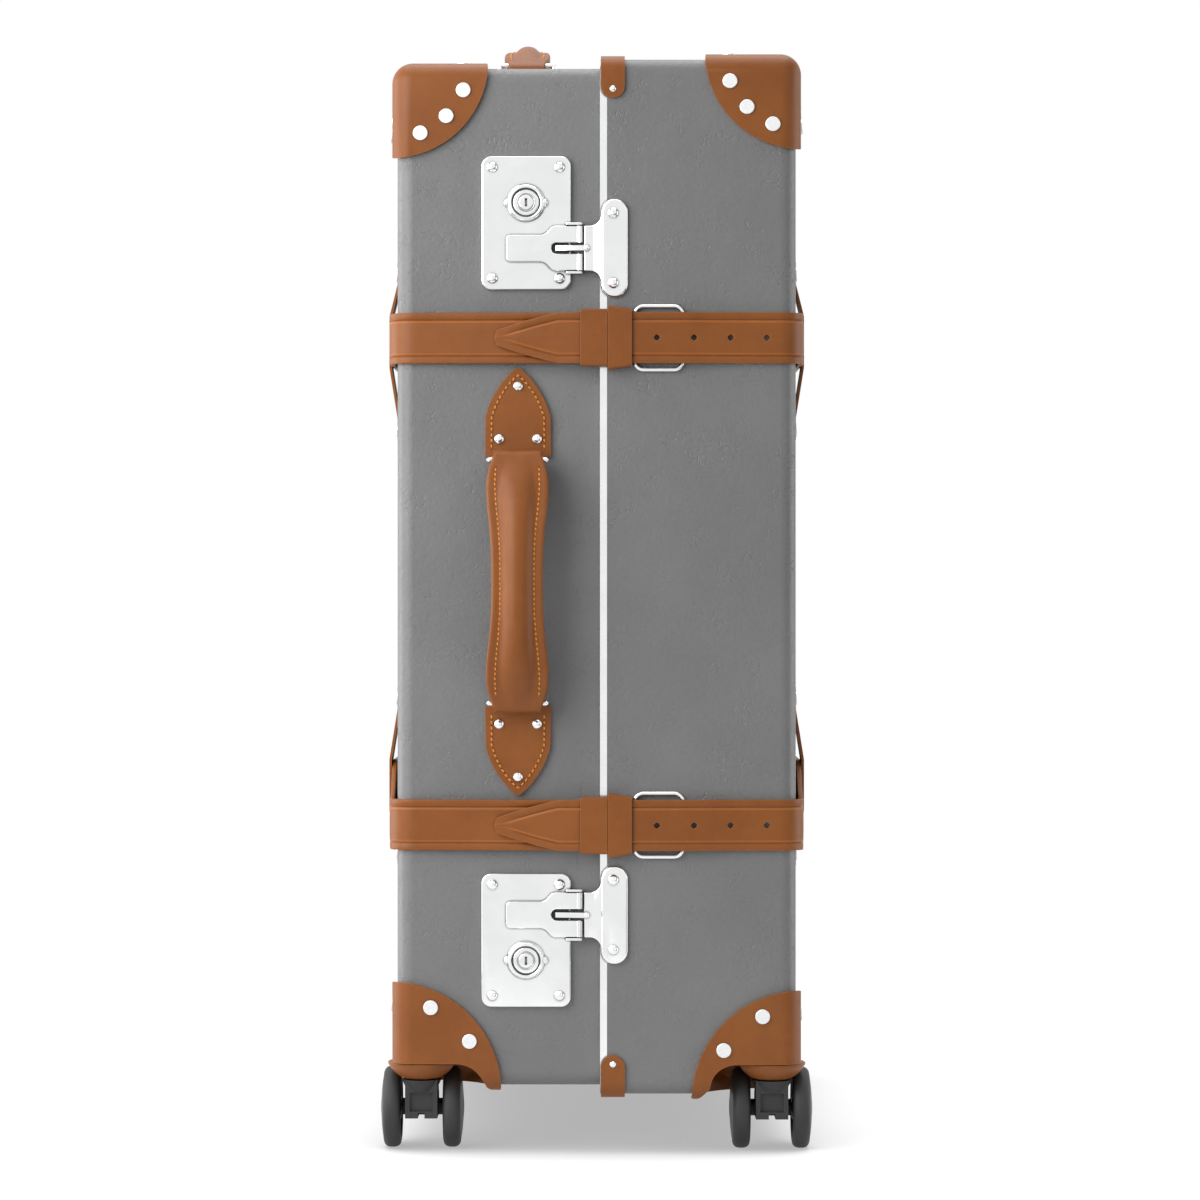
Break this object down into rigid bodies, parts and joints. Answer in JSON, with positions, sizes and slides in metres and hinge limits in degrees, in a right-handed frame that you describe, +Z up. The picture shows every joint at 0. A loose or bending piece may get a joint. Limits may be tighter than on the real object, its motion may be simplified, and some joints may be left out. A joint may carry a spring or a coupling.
{
  "type": "four-wheel suitcase",
  "caption": "Upright hard suitcase with a hinged lid, leather corners and straps, latching locks, padded carrying handles, a pull handle and swivelling twin-wheel casters.",
  "frame": {"origin": "on the floor under the middle of the whole object", "axes": "+Z up, +X through the thickness from base to lid, the lock face looks along -Y"},
  "size_m": [0.3094, 0.5678, 0.816],
  "materials": {
    "caster": "black moulded fork",
    "chrome": "polished",
    "fibreboard": "pebbled vulcanised fibreboard, satin grey",
    "leather": "smooth tan leather, satin",
    "lining": "woven cloth",
    "pull": "black satin",
    "silver": "satin rivet heads",
    "trim": "brushed",
    "tube": "anodised",
    "wheel": "charcoal moulded wheel",
    "wood": "sanded ash"
  },
  "bodies": {
    "base": {"base_shell": "fibreboard", "base_rim_frame": "wood", "base_lining": "lining", "base_top_corners": "leather", "base_wheel_corners": "leather", "base_flat_rivets": "silver", "base_dome_rivets": "chrome", "lock_plates": "chrome", "handle_chapes": "leather", "base_hinge_leaves": "chrome", "hinge_pins": "chrome", "base_strap_upper": "leather", "base_strap_lower": "leather", "base_strap_loops": "leather", "base_caster_cups": "leather", "trolley_tray": "pull", "trolley_tubes": "tube"},
    "lid": {"lid_shell": "fibreboard", "lid_edge_trim": "trim", "lid_lining": "lining", "lid_top_corners": "leather", "lid_wheel_corners": "leather", "lid_flat_rivets": "silver", "lid_dome_rivets": "chrome", "hasps": "chrome", "seam_tabs": "leather", "lid_hinge_leaves": "chrome", "lid_strap_upper": "leather", "lid_strap_lower": "leather", "strap_keepers": "leather", "buckles": "chrome", "lid_strap_loops": "leather", "lid_caster_cups": "leather"},
    "side_handle": {"side_handle_grip": "leather", "side_handle_loops": "chrome"},
    "top_handle": {"top_handle_grip": "leather", "top_handle_loops": "chrome"},
    "trolley": {"trolley_inner_tubes": "tube", "trolley_grip": "pull"},
    "button": {"trolley_button": "silver"},
    "lever_upper": {"latch_lever_upper": "chrome"},
    "hook_upper": {"latch_hook_upper": "chrome"},
    "key_upper": {"key_cylinder_upper": "chrome"},
    "lever_lower": {"latch_lever_lower": "chrome"},
    "hook_lower": {"latch_hook_lower": "chrome"},
    "key_lower": {"key_cylinder_lower": "chrome"},
    "caster_front_left": {"caster_fork_front_left": "caster"},
    "wheel_front_left_outer": {"wheel_front_left_outer": "wheel"},
    "wheel_front_left_inner": {"wheel_front_left_inner": "wheel"},
    "caster_rear_left": {"caster_fork_rear_left": "caster"},
    "wheel_rear_left_outer": {"wheel_rear_left_outer": "wheel"},
    "wheel_rear_left_inner": {"wheel_rear_left_inner": "wheel"},
    "caster_front_right": {"caster_fork_front_right": "caster"},
    "wheel_front_right_outer": {"wheel_front_right_outer": "wheel"},
    "wheel_front_right_inner": {"wheel_front_right_inner": "wheel"},
    "caster_rear_right": {"caster_fork_rear_right": "caster"},
    "wheel_rear_right_outer": {"wheel_rear_right_outer": "wheel"},
    "wheel_rear_right_inner": {"wheel_rear_right_inner": "wheel"}
  },
  "joints": [
    {"name": "lid_hinge", "type": "hinge", "parent": "base", "child": "lid", "pos_m": [0.0025, 0.2612, 0.4095], "axis": [0, 0, 1], "range_deg": [0, 100]},
    {"name": "side_handle_swing", "type": "hinge", "parent": "base", "child": "side_handle", "pos_m": [-0.0556, -0.2484, 0.406], "axis": [0, 0, 1], "range_deg": [-20, 20]},
    {"name": "top_handle_swing", "type": "hinge", "parent": "base", "child": "top_handle", "pos_m": [-0.052, 0.0061, 0.7805], "axis": [0, 1, 0], "range_deg": [-20, 20]},
    {"name": "trolley_slide", "type": "slide", "parent": "base", "child": "trolley", "axis": [0, 0, 1], "range_m": [0, 0.29]},
    {"name": "button_press", "type": "slide", "parent": "trolley", "child": "button", "axis": [0, 0, -1], "range_m": [0, 0.0025], "stiffness_N_per_m": 300, "springref_m": -0.004},
    {"name": "latch_lever_upper", "type": "hinge", "parent": "base", "child": "lever_upper", "pos_m": [-0.012, -0.2449, 0.642], "axis": [0, 0, 1], "range_deg": [0, 90]},
    {"name": "latch_hook_upper", "type": "hinge", "parent": "lever_upper", "child": "hook_upper", "pos_m": [-0.028, -0.2449, 0.642], "axis": [0, 0, 1], "range_deg": [-90, 0]},
    {"name": "key_turn_upper", "type": "hinge", "parent": "base", "child": "key_upper", "pos_m": [-0.0499, -0.243, 0.6743], "axis": [0, -1, 0], "range_deg": [0, 90]},
    {"name": "latch_lever_lower", "type": "hinge", "parent": "base", "child": "lever_lower", "pos_m": [-0.012, -0.2449, 0.17], "axis": [0, 0, 1], "range_deg": [0, 90]},
    {"name": "latch_hook_lower", "type": "hinge", "parent": "lever_lower", "child": "hook_lower", "pos_m": [-0.028, -0.2449, 0.17], "axis": [0, 0, 1], "range_deg": [-90, 0]},
    {"name": "key_turn_lower", "type": "hinge", "parent": "base", "child": "key_lower", "pos_m": [-0.0499, -0.243, 0.1377], "axis": [0, -1, 0], "range_deg": [0, 90]},
    {"name": "swivel_front_left", "type": "hinge", "parent": "base", "child": "caster_front_left", "pos_m": [-0.1249, -0.2179, 0.05], "axis": [0, 0, 1], "continuous": true},
    {"name": "spin_front_left_outer", "type": "hinge", "parent": "caster_front_left", "child": "wheel_front_left_outer", "pos_m": [-0.1249, -0.1989, 0.029], "axis": [1, 0, 0], "continuous": true},
    {"name": "spin_front_left_inner", "type": "hinge", "parent": "caster_front_left", "child": "wheel_front_left_inner", "pos_m": [-0.1249, -0.1989, 0.029], "axis": [1, 0, 0], "continuous": true},
    {"name": "swivel_rear_left", "type": "hinge", "parent": "base", "child": "caster_rear_left", "pos_m": [-0.1249, 0.2301, 0.05], "axis": [0, 0, 1], "continuous": true},
    {"name": "spin_rear_left_outer", "type": "hinge", "parent": "caster_rear_left", "child": "wheel_rear_left_outer", "pos_m": [-0.1249, 0.2491, 0.029], "axis": [1, 0, 0], "continuous": true},
    {"name": "spin_rear_left_inner", "type": "hinge", "parent": "caster_rear_left", "child": "wheel_rear_left_inner", "pos_m": [-0.1249, 0.2491, 0.029], "axis": [1, 0, 0], "continuous": true},
    {"name": "swivel_front_right", "type": "hinge", "parent": "lid", "child": "caster_front_right", "pos_m": [0.1249, -0.2237, 0.05], "axis": [0, 0, 1], "continuous": true},
    {"name": "spin_front_right_outer", "type": "hinge", "parent": "caster_front_right", "child": "wheel_front_right_outer", "pos_m": [0.1249, -0.2047, 0.029], "axis": [1, 0, 0], "continuous": true},
    {"name": "spin_front_right_inner", "type": "hinge", "parent": "caster_front_right", "child": "wheel_front_right_inner", "pos_m": [0.1249, -0.2047, 0.029], "axis": [1, 0, 0], "continuous": true},
    {"name": "swivel_rear_right", "type": "hinge", "parent": "lid", "child": "caster_rear_right", "pos_m": [0.1249, 0.2359, 0.05], "axis": [0, 0, 1], "continuous": true},
    {"name": "spin_rear_right_outer", "type": "hinge", "parent": "caster_rear_right", "child": "wheel_rear_right_outer", "pos_m": [0.1249, 0.2549, 0.029], "axis": [1, 0, 0], "continuous": true},
    {"name": "spin_rear_right_inner", "type": "hinge", "parent": "caster_rear_right", "child": "wheel_rear_right_inner", "pos_m": [0.1249, 0.2549, 0.029], "axis": [1, 0, 0], "continuous": true}
  ],
  "couplings": [
    {"joint": "latch_hook_upper", "follows": "latch_lever_upper", "ratio": -1},
    {"joint": "latch_hook_lower", "follows": "latch_lever_lower", "ratio": -1}
  ]
}
